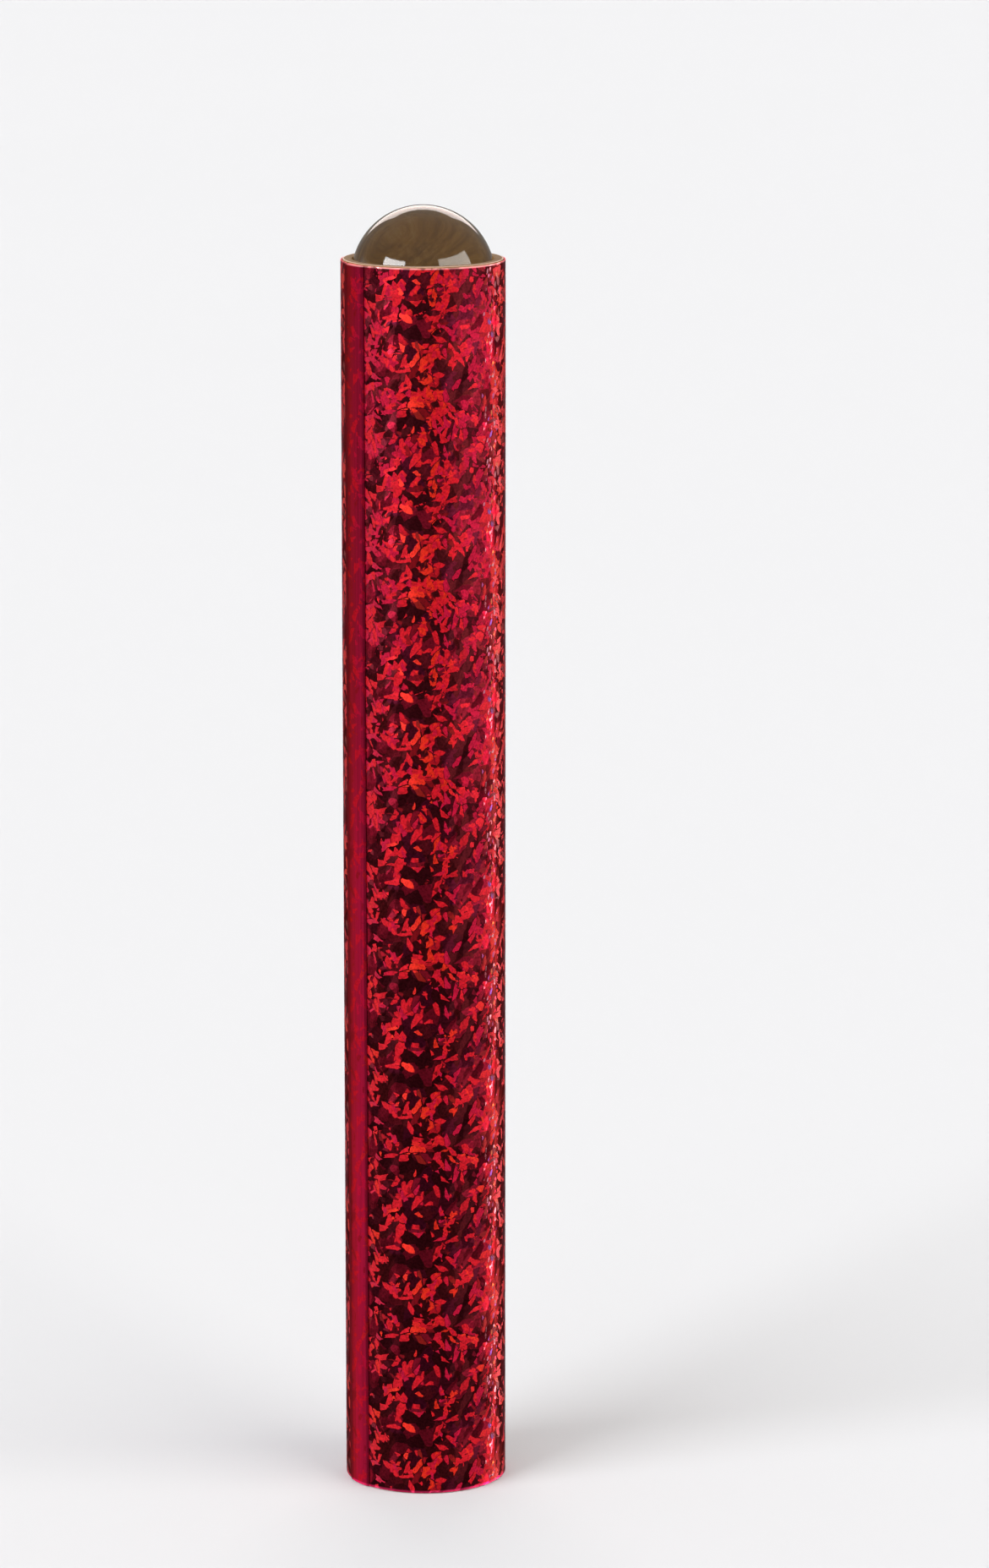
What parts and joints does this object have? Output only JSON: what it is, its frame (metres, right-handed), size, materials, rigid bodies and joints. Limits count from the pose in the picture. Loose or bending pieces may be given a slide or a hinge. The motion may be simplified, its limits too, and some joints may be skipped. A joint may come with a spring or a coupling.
{
  "type": "marble kaleidoscope",
  "caption": "Upright toy kaleidoscope: a paper tube wrapped in glittering metallic film, with a clear glass marble in its upper end and a sight hole in its lower end.",
  "frame": {"origin": "centre of the lower (eyepiece) end of the tube, on the surface it stands on", "axes": "+Z along the tube from the eyepiece to the marble; -Y is the side the picture looks at; +X is to the right in that view"},
  "size_m": [0.0286, 0.0286, 0.2282],
  "materials": {
    "kraft_board": "wound kraft paperboard, matt",
    "red_film": "red metallised film with a pressed shard pattern, laminated to paper, glossy",
    "clear_glass": "polished clear solid glass",
    "seat_card": "pressed kraft card, matt",
    "silvered_strip": "thin silvered strip",
    "paper_tape": "creped paper tape",
    "ring_card": "pressed kraft card, matt",
    "clear_plastic": "clear cast sheet",
    "black_plastic": "moulded black, satin"
  },
  "bodies": {
    "scope": {"tube_body": "kraft_board", "foil_wrap": "red_film", "marble_seat": "seat_card", "mirror_strip_1": "silvered_strip", "mirror_strip_2": "silvered_strip", "mirror_strip_3": "silvered_strip", "prism_tape_lower": "paper_tape", "prism_tape_middle": "paper_tape", "prism_tape_upper": "paper_tape", "window_ring": "ring_card", "eyepiece_window": "clear_plastic", "eyepiece_plug": "black_plastic"},
    "marble": {"marble": "clear_glass"}
  },
  "joints": [
    {"name": "marble_roll", "type": "hinge", "parent": "scope", "child": "marble", "pos_m": [0, 0, 0.2157], "axis": [1, 0, 0], "continuous": true}
  ]
}
